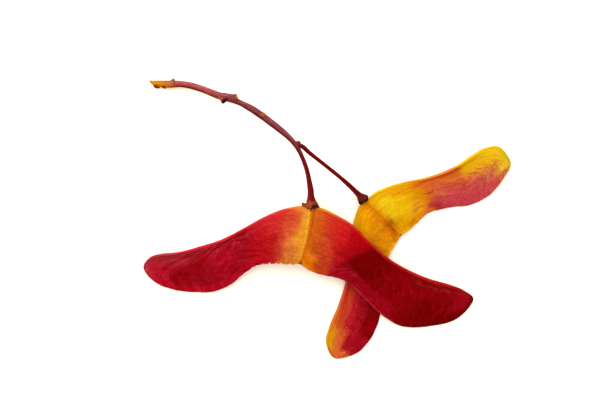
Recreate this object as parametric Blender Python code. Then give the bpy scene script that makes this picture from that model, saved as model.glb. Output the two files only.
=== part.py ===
"""Two pairs of winged maple fruit on one forked stalk, lying on a flat surface.

A pair is two halves that meet along a straight seam. Each half is a flat nutlet that thins
out into a papery wing, with a thick rib along the wing's leading edge and veins that leave
the rib and curve down to the trailing edge. The stalk ends in a flared cup on each pair.

Shapes are worked out in millimetres and turned into metres as their meshes are made.
The origin is on the surface, under the middle of the object's box, with +Z up.
"""

import math

import bmesh
import bpy
import numpy as np
from mathutils import Vector

MM = 0.001

# Thicknesses and relief of a fruit half, in millimetres.
WING_THICK = 0.66
NUT_THICK = 3.0
RIB_THICK = 1.3
VEIN_HEIGHT = 0.14
WRINKLE_HEIGHT = 0.08
SEAM_RIDGE = 0.22
SEAM_GAP = 0.3

# The sheet that becomes one half: rows from the seam to the tip, columns from the leading edge.
ROWS = 48
COLUMNS = 13
VEINS = 8
VEIN_SWEEP = 0.42
WRINKLES = 3
BENDS = 2.5

# Outlines from the seam's top along the leading edge to the tip, and back along the trailing
# edge to the notch under the seam, as (x, y, height of the middle of the thickness).
FRONT_LEFT = [
    (-3.9, 2.8, 5.0), (-6.7, 3.0, 5.1), (-11.0, 2.1, 5.1), (-15.5, 0.2, 4.8), (-20.5, -2.6, 4.3),
    (-25.3, -5.0, 3.7), (-30.3, -6.6, 3.0), (-35.1, -7.9, 2.4), (-39.7, -8.5, 1.8),
    (-42.6, -9.6, 1.3),
    (-43.8, -11.7, 0.9),
    (-41.5, -15.0, 0.5), (-36.7, -17.0, 0.3), (-31.7, -17.7, 0.25), (-27.1, -17.4, 0.5),
    (-23.0, -15.7, 1.4), (-19.8, -13.2, 2.5), (-16.7, -11.1, 3.6), (-13.1, -10.4, 4.2),
    (-9.3, -10.6, 4.3), (-6.5, -10.8, 4.3),
]
FRONT_RIGHT = [
    (-3.9, 2.8, 5.0), (-1.2, 2.4, 5.1), (2.5, 0.6, 5.2), (6.3, -2.1, 5.2), (10.1, -5.8, 5.0),
    (14.4, -9.4, 4.5), (19.2, -12.1, 3.7), (24.0, -14.2, 2.8), (29.1, -15.7, 1.9),
    (32.8, -17.2, 1.2),
    (35.0, -19.6, 0.8),
    (30.9, -24.2, 0.35), (24.2, -25.9, 0.25), (18.0, -25.8, 0.6), (13.4, -23.3, 1.5),
    (9.5, -19.7, 2.6), (6.1, -16.2, 3.4), (3.3, -14.4, 3.9), (-0.1, -13.6, 4.2),
    (-3.6, -12.6, 4.3), (-6.5, -10.8, 4.3),
]
BACK_RIGHT = [
    (9.4, 4.3, 1.6), (11.7, 6.4, 1.5), (14.8, 7.7, 1.5), (18.6, 8.8, 1.6), (22.7, 9.6, 1.7),
    (27.0, 10.9, 1.8), (31.0, 12.8, 1.9), (34.6, 15.2, 1.9), (38.0, 16.9, 1.8),
    (41.3, 16.9, 1.6),
    (43.8, 13.9, 1.3),
    (42.1, 9.8, 1.0), (39.8, 6.4, 0.7), (36.9, 4.3, 0.5), (33.8, 3.1, 0.35), (30.4, 2.8, 0.4),
    (27.3, 2.2, 0.5), (24.2, 1.4, 0.7), (21.8, -0.3, 0.9), (19.8, -2.2, 1.1), (17.4, -3.9, 1.3),
]
BACK_LEFT = [
    (9.4, 4.3, 1.6), (7.9, 2.8, 1.5), (6.6, -0.3, 1.45), (5.7, -4.2, 1.4), (5.2, -8.5, 1.3),
    (4.9, -12.3, 1.2), (4.1, -16.4, 1.1), (2.6, -20.9, 1.0), (0.6, -25.7, 0.9),
    (-0.1, -29.8, 0.75),
    (1.9, -33.3, 0.5),
    (6.9, -32.1, 0.35), (10.5, -28.3, 0.35), (12.5, -23.9, 0.38), (13.1, -20.3, 0.45),
    (13.4, -17.1, 0.6), (13.8, -14.2, 0.75), (14.2, -11.4, 0.9), (14.8, -8.7, 1.0),
    (15.9, -6.2, 1.15), (17.4, -3.9, 1.3),
]

# Stalk centre lines from the cut end to the cup, as (x, y, height, radius).
MAIN_STALK = [
    (-42.3, 32.5, 0.95, 0.35), (-40.7, 32.1, 0.75, 0.76), (-38.1, 32.1, 1.0, 0.86),
    (-35.2, 32.2, 1.3, 0.8), (-32.8, 31.9, 1.6, 0.78), (-30.4, 31.2, 2.0, 0.76),
    (-27.9, 30.2, 2.4, 0.76), (-25.5, 29.1, 2.8, 0.8), (-23.1, 28.5, 3.1, 0.8),
    (-20.7, 27.5, 3.5, 0.74), (-18.4, 26.3, 3.9, 0.74), (-16.0, 24.8, 4.3, 0.76),
    (-13.6, 23.1, 4.6, 0.74), (-11.2, 21.1, 4.9, 0.7), (-9.1, 19.2, 5.1, 0.68),
    (-7.6, 17.7, 5.2, 0.6), (-6.6, 16.2, 5.2, 0.5), (-5.7, 14.3, 5.2, 0.45),
    (-5.0, 12.3, 5.2, 0.46), (-4.5, 10.4, 5.2, 0.5), (-4.2, 8.4, 5.15, 0.56),
    (-4.0, 6.4, 5.1, 0.68), (-3.9, 4.8, 5.05, 1.0), (-3.9, 3.4, 5.0, 1.75),
]
SIDE_STALK = [
    (-7.9, 18.6, 5.15, 0.45), (-6.0, 17.1, 5.1, 0.44), (-4.3, 15.6, 4.8, 0.41),
    (-2.3, 14.1, 4.4, 0.4), (-0.3, 12.5, 3.9, 0.4), (1.7, 10.8, 3.4, 0.41),
    (3.7, 9.2, 2.9, 0.43), (5.6, 7.6, 2.4, 0.5), (7.0, 6.4, 2.05, 0.75),
    (8.0, 5.4, 1.8, 1.0), (8.8, 4.65, 1.62, 1.4),
]
# Spurs and scars where other flowers grew: where each leaves the stalk, where it ends, its radius.
SCARS = [
    ((-38.6, 32.5, 1.3), (-36.7, 32.9, 1.5), 0.5),
    ((-26.5, 29.4, 2.8), (-24.3, 28.2, 2.8), 0.68),
    ((-23.9, 29.0, 3.2), (-21.6, 28.9, 3.6), 0.7),
    ((-16.9, 25.5, 4.3), (-15.0, 24.9, 4.7), 0.6),
    ((-8.0, 18.7, 5.1), (-6.5, 17.6, 5.3), 0.55),
]


def curve_through(points, samples):
    """Places along a smooth curve through the points, evenly spaced from knot to knot."""
    knots = np.array(points, float)
    ends = np.vstack([2 * knots[0] - knots[1], knots, 2 * knots[-1] - knots[-2]])
    place = np.clip(np.asarray(samples, float), 0, 1) * (len(knots) - 1)
    span = np.minimum(place.astype(int), len(knots) - 2)
    part = (place - span)[..., None]
    before, start, end, after = (ends[span + k] for k in range(4))
    return 0.5 * (
        2 * start
        + (end - before) * part
        + (2 * before - 5 * start + 4 * end - after) * part**2
        + (3 * start - before - 3 * end + after) * part**3
    )


def ease(low, high, value):
    """0 below low, 1 above high, and a smooth rise between them."""
    share = np.clip((value - low) / (high - low), 0, 1)
    return share * share * (3 - 2 * share)


def nutlet(along, across, nut_share):
    """How full the nutlet is: 1 over its belly, 0 on the wing and at both edges."""
    end = nut_share * (1 - 0.4 * across**2)
    length = 1 - ease(0.68 * end, 1.08 * end, along)
    belly = np.clip(1 - np.abs((across - 0.46) / 0.48) ** 2.6, 0, 1)
    return length * belly * (0.78 + 0.22 * ease(0, 0.1, along))


def half_thickness(along, across, nut_share):
    """Half the thickness of a fruit half: blade, nutlet, rib, veins and seam."""
    wing = ease(0.85 * nut_share, 1.25 * nut_share, along + 0.35 * nut_share * across)
    rib = np.exp(-(((across - 0.05) / 0.055) ** 2)) * wing * (1 - ease(0.5, 1, along))
    line = np.cos(2 * math.pi * VEINS * (along - VEIN_SWEEP * np.sqrt(across)))
    margin = ease(0.08, 0.2, across) * (1 - ease(0.86, 0.98, across))
    veins = (0.5 + 0.5 * line) ** 2 * margin * wing * (1 - ease(0.86, 0.97, along))
    belly = nutlet(along, across, nut_share)
    wrinkles = belly * np.cos(2 * math.pi * (WRINKLES * across + 0.5 * np.sin(9 * along)))
    return (
        WING_THICK / 2
        + (NUT_THICK - WING_THICK) / 2 * belly
        + (RIB_THICK - WING_THICK) / 2 * rib
        + VEIN_HEIGHT * veins
        + WRINKLE_HEIGHT * wrinkles
        + SEAM_RIDGE * np.exp(-((along / 0.015) ** 2))
    )


def material(name, colour):
    made = bpy.data.materials.new(name)
    made.use_nodes = True
    shader = made.node_tree.nodes["Principled BSDF"]
    shader.inputs["Base Color"].default_value = (*colour, 1)
    shader.inputs["Roughness"].default_value = 0.5
    shader.inputs["Metallic"].default_value = 0
    made.diffuse_color = (*colour, 1)
    return made


def fruit_half(name, outline, nut_share, camber, bend, dimple, finish):
    """One half, as a sheet with a twin under it, laid out between its two edges.

    camber is how high the wing arches between its edges, bend how far its trailing edge
    waves up and down, and dimple how deep the hollow by the notch is, all in millimetres.
    """
    shape = bmesh.new()
    bmesh.ops.create_grid(shape, x_segments=ROWS, y_segments=COLUMNS, size=0.5)
    bmesh.ops.triangulate(shape, faces=shape.faces[:], quad_method="FIXED")
    twin = bmesh.ops.extrude_face_region(shape, geom=shape.faces[:])["geom"]
    upper = {vertex for vertex in twin if isinstance(vertex, bmesh.types.BMVert)}
    side = np.array([1 if vertex in upper else -1 for vertex in shape.verts])
    flat = np.array([vertex.co for vertex in shape.verts])
    along, across = flat[:, 0] + 0.5, flat[:, 1] + 0.5

    edge = np.array(outline)
    away = edge[len(edge) // 2] - edge[0]
    seam = edge[-1] - edge[0]
    normal = np.array([seam[1], -seam[0], 0]) / math.hypot(seam[0], seam[1])
    edge[[0, -1]] += normal * math.copysign(SEAM_GAP / 2, normal @ away)
    lead = curve_through(edge, along / 2)
    trail = curve_through(edge, 1 - along / 2)
    place = lead + (trail - lead) * across[:, None]

    free = ease(0.15, 0.5, along) * (1 - ease(0.8, 1, along))
    arch = camber * 4 * across * (1 - across) * free
    wave = bend * np.sin(2 * math.pi * BENDS * along) * across**2 * free
    hollow = np.exp(-((along / 0.1) ** 2) - ((across - 0.82) / 0.16) ** 2)
    thick = half_thickness(along, across, nut_share)
    place[:, 2] += arch + wave + side * thick - (side > 0) * dimple * hollow
    place[:, 2] = np.maximum(place[:, 2], 0)

    seat = Vector(outline[0])
    for vertex, point in zip(shape.verts, place):
        vertex.co = (Vector(point) - seat) * MM
    bmesh.ops.remove_doubles(shape, verts=shape.verts[:], dist=0.01 * MM)
    bmesh.ops.recalc_face_normals(shape, faces=shape.faces[:])
    mesh = bpy.data.meshes.new(name)
    shape.to_mesh(mesh)
    shape.free()
    add_node(name, mesh, seat, finish)


def add_node(name, mesh, seat, finish):
    """One smooth-shaded object of the part, placed at its seat."""
    mesh.shade_smooth()
    mesh.set_sharp_from_angle(angle=math.radians(50))
    mesh.materials.clear()
    mesh.materials.append(finish)
    made = bpy.data.objects.new(name, mesh)
    made.location = seat * MM
    PART.objects.link(made)


def evaluated_mesh(made):
    bpy.context.view_layer.update()
    graph = bpy.context.evaluated_depsgraph_get()
    return bpy.data.meshes.new_from_object(made.evaluated_get(graph))


def tube(name, knots, rings):
    """A curve with a radius at each point, made a closed mesh."""
    line = bpy.data.curves.new(name, "CURVE")
    line.dimensions = "3D"
    line.bevel_depth = MM
    line.bevel_resolution = 3
    line.use_fill_caps = True
    spline = line.splines.new("POLY")
    spline.points.add(rings - 1)
    places = curve_through(knots, np.linspace(0, 1, rings))
    for point, (x, y, z, radius) in zip(spline.points, places):
        point.co = (x * MM, y * MM, z * MM, 1)
        point.radius = radius
    wire = bpy.data.objects.new(name, line)
    PIECES.objects.link(wire)
    shape = bmesh.new()
    shape.from_mesh(evaluated_mesh(wire))
    bpy.data.objects.remove(wire)
    bmesh.ops.remove_doubles(shape, verts=shape.verts[:], dist=0.01 * MM)
    mesh = bpy.data.meshes.new(name)
    shape.to_mesh(mesh)
    shape.free()
    made = bpy.data.objects.new(name, mesh)
    PIECES.objects.link(made)
    return made


def scar(start, end, radius):
    """A spur that widens from the stalk to a flat scar at its end."""
    lean = Vector(end) - Vector(start)
    shape = bmesh.new()
    bmesh.ops.create_cone(
        shape, cap_ends=True, segments=8,
        radius1=0.4 * radius * MM, radius2=radius * MM, depth=lean.length * MM,
    )
    mesh = bpy.data.meshes.new("scar")
    shape.to_mesh(mesh)
    shape.free()
    made = bpy.data.objects.new("scar", mesh)
    made.rotation_mode = "QUATERNION"
    made.rotation_quaternion = lean.to_track_quat("Z", "Y")
    made.location = (Vector(start) + Vector(end)) / 2 * MM
    PIECES.objects.link(made)


def stalk(finish):
    """The main stalk, its side branch and the scars, joined in one body."""
    body = tube("main_stalk", MAIN_STALK, 62)
    tube("side_stalk", SIDE_STALK, 26)
    for start, end, radius in SCARS:
        scar(start, end, radius)
    PIECES.objects.unlink(body)
    bpy.context.scene.collection.objects.link(body)
    join = body.modifiers.new("join", "BOOLEAN")
    join.operation = "UNION"
    join.operand_type = "COLLECTION"
    join.collection = PIECES
    join.solver = "EXACT"
    mesh = evaluated_mesh(body)
    bpy.data.objects.remove(body)
    for piece in list(PIECES.objects):
        bpy.data.objects.remove(piece)
    add_node("stalk", mesh, Vector((0, 0, 0)), finish)


for old in list(bpy.data.objects):
    bpy.data.objects.remove(old)
PART = bpy.data.collections.new("maple_samaras")
PIECES = bpy.data.collections.new("stalk_pieces")
for group in (PART, PIECES):
    bpy.context.scene.collection.children.link(group)

crimson = material("crimson_skin", (0.55, 0.01, 0.02))
maroon = material("maroon_skin", (0.42, 0.005, 0.01))
yellow = material("yellow_skin", (0.83, 0.4, 0.02))
orange = material("orange_skin", (0.72, 0.2, 0.02))
bark = material("stalk_bark", (0.27, 0.03, 0.04))

fruit_half("front_left_samara", FRONT_LEFT, 0.34, 0.5, 0.25, 0.0, crimson)
fruit_half("front_right_samara", FRONT_RIGHT, 0.38, 0.4, -0.25, 0.0, maroon)
fruit_half("back_right_samara", BACK_RIGHT, 0.36, 0.3, 0.2, 0.7, yellow)
fruit_half("back_left_samara", BACK_LEFT, 0.36, 0.2, 0.1, 0.7, orange)
stalk(bark)
bpy.data.collections.remove(PIECES)
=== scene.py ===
# %% [markdown]
# # Two pairs of maple samaras on one forked stalk
# A samara is a dry fruit with a wing. Each half of a pair is a flat nutlet that runs out into a
# papery wing, and two pairs hang here on one stalk. The solid model that is loaded first fixes
# where each piece is and how large. What follows gives every piece its fine surface: wrinkles on
# the nutlets, veins that fan out over the wings, bark on the stalk, and the autumn colours.

# %% Load the solid model
import math

import bpy
import numpy as np
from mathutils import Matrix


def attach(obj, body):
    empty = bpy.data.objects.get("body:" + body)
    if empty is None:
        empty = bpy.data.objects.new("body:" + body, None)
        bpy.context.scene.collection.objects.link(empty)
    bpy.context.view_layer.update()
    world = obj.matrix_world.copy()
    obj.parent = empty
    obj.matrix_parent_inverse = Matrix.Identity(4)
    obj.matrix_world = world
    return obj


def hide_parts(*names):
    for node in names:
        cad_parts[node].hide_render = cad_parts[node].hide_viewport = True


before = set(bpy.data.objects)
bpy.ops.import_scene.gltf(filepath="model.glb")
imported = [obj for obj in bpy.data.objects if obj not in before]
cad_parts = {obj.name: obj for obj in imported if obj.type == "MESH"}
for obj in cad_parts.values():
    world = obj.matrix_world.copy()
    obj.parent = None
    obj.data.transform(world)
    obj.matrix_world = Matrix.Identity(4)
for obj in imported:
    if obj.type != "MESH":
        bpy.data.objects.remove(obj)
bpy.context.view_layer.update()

MM = 0.001
print("solids:", ", ".join(sorted(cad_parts)))

# %% [markdown]
# The sprig lies on a pale table and is seen from straight above. A camera that looks straight down
# needs no turn in Blender, so only its place and its lens matter. It stands well above the sprig, as
# with a long lens, so that raised pieces hardly grow in the picture. Lengths are in millimetres.

# %% Look straight down
CAMERA_HEIGHT = 408.0
PICTURE_WIDTH = 146.88
PICTURE_CENTRE = (-5.04, 3.48)
SENSOR = 36.0

lens = bpy.data.cameras.new("lens")
lens.sensor_width = SENSOR
lens.lens = SENSOR * CAMERA_HEIGHT / PICTURE_WIDTH
lens.clip_start = 0.01
camera = bpy.data.objects.new("camera", lens)
camera.location = (PICTURE_CENTRE[0] * MM, PICTURE_CENTRE[1] * MM, CAMERA_HEIGHT * MM)
bpy.context.scene.collection.objects.link(camera)
bpy.context.scene.camera = camera
print("focal length in mm:", round(lens.lens, 1))

# %% [markdown]
# The light is so even that the sprig throws only a faint, warm shadow. A white surround gives most
# of it, and one large soft lamp, high up beyond the stalk and a little to the left, gives the
# surfaces their form and the shadow its side. Both together light the table up to white. Lengths
# are in metres here, as Blender takes them.

# %% Table and light
SKY_STRENGTH = 1.45
LAMP_PLACE = (-0.24, 0.6, 0.52)
LAMP_SIZE = 1.25
LAMP_POWER = 12.0
TABLE_HALF = 0.9
TABLE_TOP = -0.02 * MM

world = bpy.data.worlds.new("white_surround")
world.use_nodes = True
world.node_tree.nodes["Background"].inputs["Color"].default_value = (1, 1, 1, 1)
world.node_tree.nodes["Background"].inputs["Strength"].default_value = SKY_STRENGTH
bpy.context.scene.world = world
bpy.context.scene.view_settings.view_transform = "Standard"

lamp = bpy.data.lights.new("soft_lamp", "AREA")
lamp.size = LAMP_SIZE
lamp.energy = LAMP_POWER
lamp_object = bpy.data.objects.new("soft_lamp", lamp)
lamp_object.location = LAMP_PLACE
lamp_object.rotation_mode = "QUATERNION"
lamp_object.rotation_quaternion = lamp_object.location.to_track_quat("Z", "Y")
bpy.context.scene.collection.objects.link(lamp_object)

table_mesh = bpy.data.meshes.new("table")
signs = ((-1, -1), (1, -1), (1, 1), (-1, 1))
corners = [(x * TABLE_HALF, y * TABLE_HALF, TABLE_TOP) for x, y in signs]
table_mesh.from_pydata(corners, [], [(0, 1, 2, 3)])
table = bpy.data.objects.new("table", table_mesh)
bpy.context.scene.collection.objects.link(table)
print("lamp is", round(lamp_object.location.length, 2), "m from the sprig")

# %% [markdown]
# Every outline on the sprig is a free curve. A few points carry it, and a smooth curve runs through
# them. The same goes for anything that grows or fades over a surface: a soft step between two
# places is enough for it.

# %% Smooth curves and soft steps
def curve_through(points, samples):
    """Places on a smooth curve through the points: between two points, a cubic that leaves each one
    in the direction from its neighbour before to its neighbour after."""
    knots = np.array(points, float)
    ends = np.vstack([2 * knots[0] - knots[1], knots, 2 * knots[-1] - knots[-2]])
    place = np.clip(np.asarray(samples, float), 0, 1) * (len(knots) - 1)
    span = np.minimum(place.astype(int), len(knots) - 2)
    part = (place - span)[..., None]
    before, start, end, after = (ends[span + k] for k in range(4))
    return 0.5 * (
        2 * start
        + (end - before) * part
        + (2 * before - 5 * start + 4 * end - after) * part**2
        + (3 * start - before - 3 * end + after) * part**3
    )


def ease(low, high, value):
    """0 below low, 1 above high, and between them three squares less two cubes of the share."""
    share = np.clip((value - low) / (high - low), 0, 1)
    return share * share * (3 - 2 * share)


print("halfway up a soft step:", ease(0, 1, 0.5))

# %% [markdown]
# Nothing that grew is even, so each surface also needs hills that wander. A grid of slopes drawn
# from a seed gives them: each corner of the grid tilts the ground near it, and the tilts are
# blended. Where the hills cross zero there are thin wandering lines, which serve as veins.

# %% Hills and wandering lines
LATTICE = 256


def drift(u, v, seed):
    """Smooth hills, about -1 to 1: the slopes of a cell's four corners, each giving the height
    that it would reach at (u, v), blended by soft steps across the cell."""
    turns = np.random.default_rng(seed).uniform(0, 2 * math.pi, (LATTICE, LATTICE))
    column, row = np.floor(u).astype(int), np.floor(v).astype(int)
    right, up = u - column, v - row

    def reach(east, north):
        turn = turns[(column + east) % LATTICE, (row + north) % LATTICE]
        return np.cos(turn) * (right - east) + np.sin(turn) * (up - north)

    blend = ease(0, 1, right)
    south = reach(0, 0) + (reach(1, 0) - reach(0, 0)) * blend
    north = reach(0, 1) + (reach(1, 1) - reach(0, 1)) * blend
    return 1.5 * (south + (north - south) * ease(0, 1, up))


def wander(u, v, seed, width):
    """Thin ridges, 0 to 1, where hills cross zero: one less the height over width, squared."""
    return np.clip(1 - np.abs(drift(u, v, seed)) / width, 0, 1) ** 2


sample = drift(*np.meshgrid(np.arange(0, 40, 0.1), np.arange(0, 40, 0.1)), 1)
print("hills reach from", round(sample.min(), 2), "to", round(sample.max(), 2))

# %% [markdown]
# A half is described by its outline and a few habits. The outline starts at the top of the seam,
# follows the leading edge to the tip, and comes back along the trailing edge to the notch. Each
# point has the height of the middle of the thickness above the table, because the front pair
# leans on the pair behind it.
#
# The seed picks a half's own hills, and the nutlet's reach and the veins' sweep are shares of the
# length. The other habits are in millimetres: the arch and the wave of the wing, a dimple, a lip
# and a valley by the seam, the teeth of a frayed edge, and how far the seam's side bows.

# %% The four halves
HALVES = {
    "front_left_half": {
        "node": "front_left_samara", "slot": "crimson_skin", "seed": 11,
        "nutlet": 0.34, "camber": 0.5, "bend": 0.25, "dimple": 0.0,
        "sweep": 0.42, "lip": 0.2, "valley": 0.0, "fray": 0.8, "bow": -0.5,
        "outline": [
            (-3.9, 2.8, 5.0), (-6.7, 3.0, 5.1), (-11.0, 2.1, 5.1), (-15.5, 0.2, 4.8),
            (-20.5, -2.6, 4.3), (-25.3, -5.0, 3.7), (-30.3, -6.6, 3.0), (-35.1, -7.9, 2.4),
            (-39.7, -8.4, 1.8), (-42.5, -9.35, 1.3), (-43.95, -11.9, 0.9), (-41.4, -15.15, 0.5),
            (-36.7, -17.1, 0.3), (-31.7, -17.7, 0.25), (-27.1, -17.5, 0.5), (-23.0, -15.75, 1.4),
            (-19.8, -13.1, 2.5), (-16.7, -11.1, 3.6), (-13.1, -10.6, 4.2), (-9.3, -10.75, 4.3),
            (-6.5, -10.8, 4.3),
        ],
    },
    "front_right_half": {
        "node": "front_right_samara", "slot": "maroon_skin", "seed": 23,
        "nutlet": 0.38, "camber": 0.4, "bend": -0.25, "dimple": 0.0,
        "sweep": 0.36, "lip": 0.16, "valley": 0.2, "fray": 0.08, "bow": -0.5,
        "outline": [
            (-3.9, 2.8, 5.0), (-1.2, 2.5, 5.1), (2.5, 0.75, 5.2), (6.3, -1.7, 5.2),
            (10.1, -5.6, 5.0), (14.4, -9.25, 4.5), (19.2, -12.1, 3.7), (24.0, -14.2, 2.8),
            (29.1, -15.7, 1.9), (32.8, -17.2, 1.2), (35.0, -19.6, 0.8), (30.9, -24.2, 0.35),
            (24.2, -25.9, 0.25), (18.0, -25.8, 0.6), (13.4, -23.3, 1.5), (9.5, -19.7, 2.6),
            (6.1, -16.2, 3.4), (3.3, -14.4, 3.9), (-0.1, -13.6, 4.2), (-3.6, -12.6, 4.3),
            (-6.5, -10.8, 4.3),
        ],
    },
    "back_right_half": {
        "node": "back_right_samara", "slot": "yellow_skin", "seed": 37,
        "nutlet": 0.36, "camber": 0.3, "bend": 0.2, "dimple": 0.7,
        "sweep": 0.5, "lip": 0.06, "valley": 0.05, "fray": 0.05, "bow": 0.0,
        "outline": [
            (9.4, 4.3, 1.6), (11.7, 6.4, 1.5), (14.8, 7.7, 1.5), (18.6, 8.8, 1.6),
            (22.7, 9.6, 1.7), (27.0, 10.9, 1.8), (31.0, 12.8, 1.9), (34.6, 15.2, 1.9),
            (38.0, 17.0, 1.8), (41.4, 17.05, 1.6), (43.95, 13.3, 1.3), (42.5, 10.0, 1.0),
            (39.8, 6.4, 0.7), (36.9, 4.3, 0.5), (33.8, 3.1, 0.35), (30.4, 2.8, 0.4),
            (27.3, 2.2, 0.5), (24.2, 1.3, 0.7), (21.8, -0.8, 0.9), (19.8, -2.6, 1.1),
            (17.75, -4.05, 1.3),
        ],
    },
    "back_left_half": {
        "node": "back_left_samara", "slot": "orange_skin", "seed": 53,
        "nutlet": 0.36, "camber": 0.2, "bend": 0.1, "dimple": 0.7,
        "sweep": 0.42, "lip": 0.06, "valley": 0.05, "fray": 0.05, "bow": 0.0,
        "outline": [
            (9.4, 4.3, 1.6), (7.65, 2.9, 1.5), (6.45, -0.4, 1.45), (5.65, -4.2, 1.4),
            (5.2, -8.5, 1.3), (4.9, -12.3, 1.2), (4.1, -16.4, 1.1), (2.6, -20.9, 1.0),
            (0.6, -25.7, 0.9), (-0.25, -29.7, 0.75), (1.9, -33.5, 0.5), (7.4, -32.1, 0.35),
            (10.9, -28.1, 0.35), (12.6, -23.8, 0.38), (13.1, -20.3, 0.45), (13.4, -17.1, 0.6),
            (13.8, -14.2, 0.75), (14.15, -11.5, 0.9), (14.75, -8.9, 1.0), (15.95, -6.7, 1.15),
            (17.75, -4.05, 1.3),
        ],
    },
}
print("halves:", ", ".join(HALVES))

# %% [markdown]
# Two numbers name each place on a half: how far along it lies from the seam to the tip, and how
# far across from the leading edge to the trailing edge. Columns crowd towards both edges, where
# the surface turns round into the underside. Rows are even, but for one beside the seam, which
# keeps the corner between the face and the seam's side crisp.

# %% The grid of a half
ROWS = 381
COLUMNS = 116
EDGE_CROWDING = 0.6
CORNER_ROW = 0.0004

step = np.linspace(0, 1, COLUMNS)
ALONG, ACROSS = np.meshgrid(
    np.insert(np.linspace(0, 1, ROWS - 1), 1, CORNER_ROW),
    step - EDGE_CROWDING * np.sin(2 * math.pi * step) / (2 * math.pi),
    indexing="ij",
)
print("places on one face of a half:", ALONG.size)

# %% [markdown]
# The nutlet is a lens with its fullest part a little nearer to the leading edge, and it ends in an
# arc that reaches less far along the trailing edge. A botanist would call the skin net-veined: most
# wrinkles run lengthwise and others tie them together.

# %% Nutlet and its wrinkles
FULLEST_PLACE = 0.46
NUTLET_HALF = 0.48
FLATNESS = 2.6
END_CURVE = 0.4
SEAM_FULLNESS = 0.78


def belly(along, across, reach):
    """How full the nutlet is, 1 to 0: a soft step down at its curved end, times one less a power
    of the way from its fullest line, and a little less by the seam."""
    end = reach * (1 - END_CURVE * across**2)
    length = 1 - ease(0.68 * end, 1.08 * end, along)
    width = np.clip(1 - np.abs((across - FULLEST_PLACE) / NUTLET_HALF) ** FLATNESS, 0, 1)
    return length * width * (SEAM_FULLNESS + (1 - SEAM_FULLNESS) * ease(0, 0.1, along))


def wrinkles(along, across, seed):
    """Wandering lines that run lengthwise, bent by slow hills, and fainter ties across them."""
    sway = 0.9 * drift(9 * along, 3 * across, seed)
    lengthwise = wander(13 * across + sway, 7 * along, seed + 1, 0.34)
    ties = wander(30 * along + sway, 5 * across, seed + 2, 0.22)
    return np.maximum(lengthwise, 0.6 * ties)


print("fullest belly:", round(belly(ALONG, ACROSS, 0.36).max(), 2))

# %% [markdown]
# Veins run in arches. They leave the nutlet's end slanting up to the rib, run beside it in a bundle,
# and peel off one by one to fall to the trailing edge. One number that stays the same along each
# falling vein, called the flow here, gives their course: strongly swept beside the rib, and steep
# further out.

# %% Flow of the veins
NECK = 0.45
VEIN_NECK = 0.38
VEIN_SWEEP = 1.15
SWEEP_RATE = 1.7
RISE = 0.5


def wing_share(along, across, reach):
    """0 on the nutlet and 1 on the wing, with a slanting soft step at the neck."""
    return ease(0.85 * reach, 1.25 * reach, along + 0.35 * reach * across)


def vein_flow(along, across, sweep, seed, neck=NECK):
    """Along, less a fall: the sweep times the root of a hyperbolic tangent of the way across. The
    sweep turns from backwards to forwards past the neck, and slow hills bend it."""
    fall = sweep * np.tanh(SWEEP_RATE * (along - neck)) * np.sqrt(np.tanh(across / 0.25))
    return along - fall + 0.007 * drift(9 * along, 4 * across, seed)


def follow_lines(pattern, along, across, flow, reach):
    """One pattern laid four ways and blended: lengthwise on the nutlet, along the rising lines at
    the neck, along the rib in its bundle, and along the falling veins on the rest of the wing."""
    wing = wing_share(along, across, reach)
    bundle = wing * (1 - ease(0.05, 0.22, across))
    neck = (wing - bundle) * (1 - ease(NECK - 0.06, NECK + 0.08, along))
    return (
        (1 - wing) * pattern(11 * across, 6 * along, 0)
        + neck * pattern(40 * (along + RISE * across**1.2), 2.4 * across, 1)
        + (wing - bundle - neck) * pattern(42 * flow, 2.4 * across, 2)
        + bundle * pattern(19 * (across - 0.1 * ease(0.55, 1, along)), 4 * along, 3)
    )


def veins(along, across, flow, reach, seed):
    """Wandering lines that follow the arches: main veins, and finer ones away from the rib."""
    main = follow_lines(lambda u, v, k: wander(u, v, seed + k, 0.36), along, across, flow, reach)
    fine = follow_lines(
        lambda u, v, k: wander(2.1 * u, 2 * v, seed + 10 + k, 0.42), along, across, flow, reach
    )
    return np.maximum(main, 0.75 * fine * ease(0.1, 0.45, across))


def strokes(along, across, flow, reach, seed):
    """Soft streaks that follow the arches: four layers of hills added up, each twice as fine as
    the one before and lower by the root of two."""
    return sum(
        follow_lines(
            lambda u, v, k: drift(fine * 0.8 * u, fine * v, seed + 20 + k), along, across, flow, reach
        )
        / math.sqrt(fine)
        for fine in (1, 2, 4, 8)
    )


flow = vein_flow(ALONG, ACROSS, 0.42, 11)
print("flow from", round(flow.min(), 2), "to", round(flow.max(), 2))

# %% [markdown]
# The wing is thin and the rib along its leading edge is thick, made of strands that run side by
# side from the nutlet. The thickness is worked out as a half thickness above and below a middle
# surface, and it closes to nothing at the edges in a quarter ellipse, so the rim is round.

# %% Thickness of a half
BLADE_THICK = 0.42
MARGIN_THICK = 0.24
NUTLET_THICK = 3.0
RIB_THICK = 1.3
RIB_PLACE = 0.05
RIB_WIDTH = 0.055
TIP_RADIUS = 3.5


def thickness(along, across, width, length, habit):
    """Half the thickness in millimetres: a blade that thins out across, the nutlet's belly and a
    rib with a bell curve for its section. With it the rim's share, a quarter ellipse that rises
    from 0 at the edge to 1 where the edge is as far as the half thickness."""
    blade = (BLADE_THICK + (MARGIN_THICK - BLADE_THICK) * ease(0.3, 1, across)) / 2
    wing = wing_share(along, across, habit["nutlet"])
    rib = np.exp(-(((across - RIB_PLACE) / RIB_WIDTH) ** 2)) * wing * (1 - ease(0.5, 1, along))
    full = belly(along, across, habit["nutlet"])
    half = blade + (NUTLET_THICK / 2 - blade) * full + (RIB_THICK / 2 - blade) * rib
    from_edge = np.minimum(across, 1 - across) * width
    from_tip = (length * (1 - along)) ** 2 / (2 * TIP_RADIUS)
    inside = np.clip(np.minimum(from_edge, from_tip) / half, 0, 1)
    return half, np.sqrt(1 - (1 - inside) ** 2)


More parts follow.
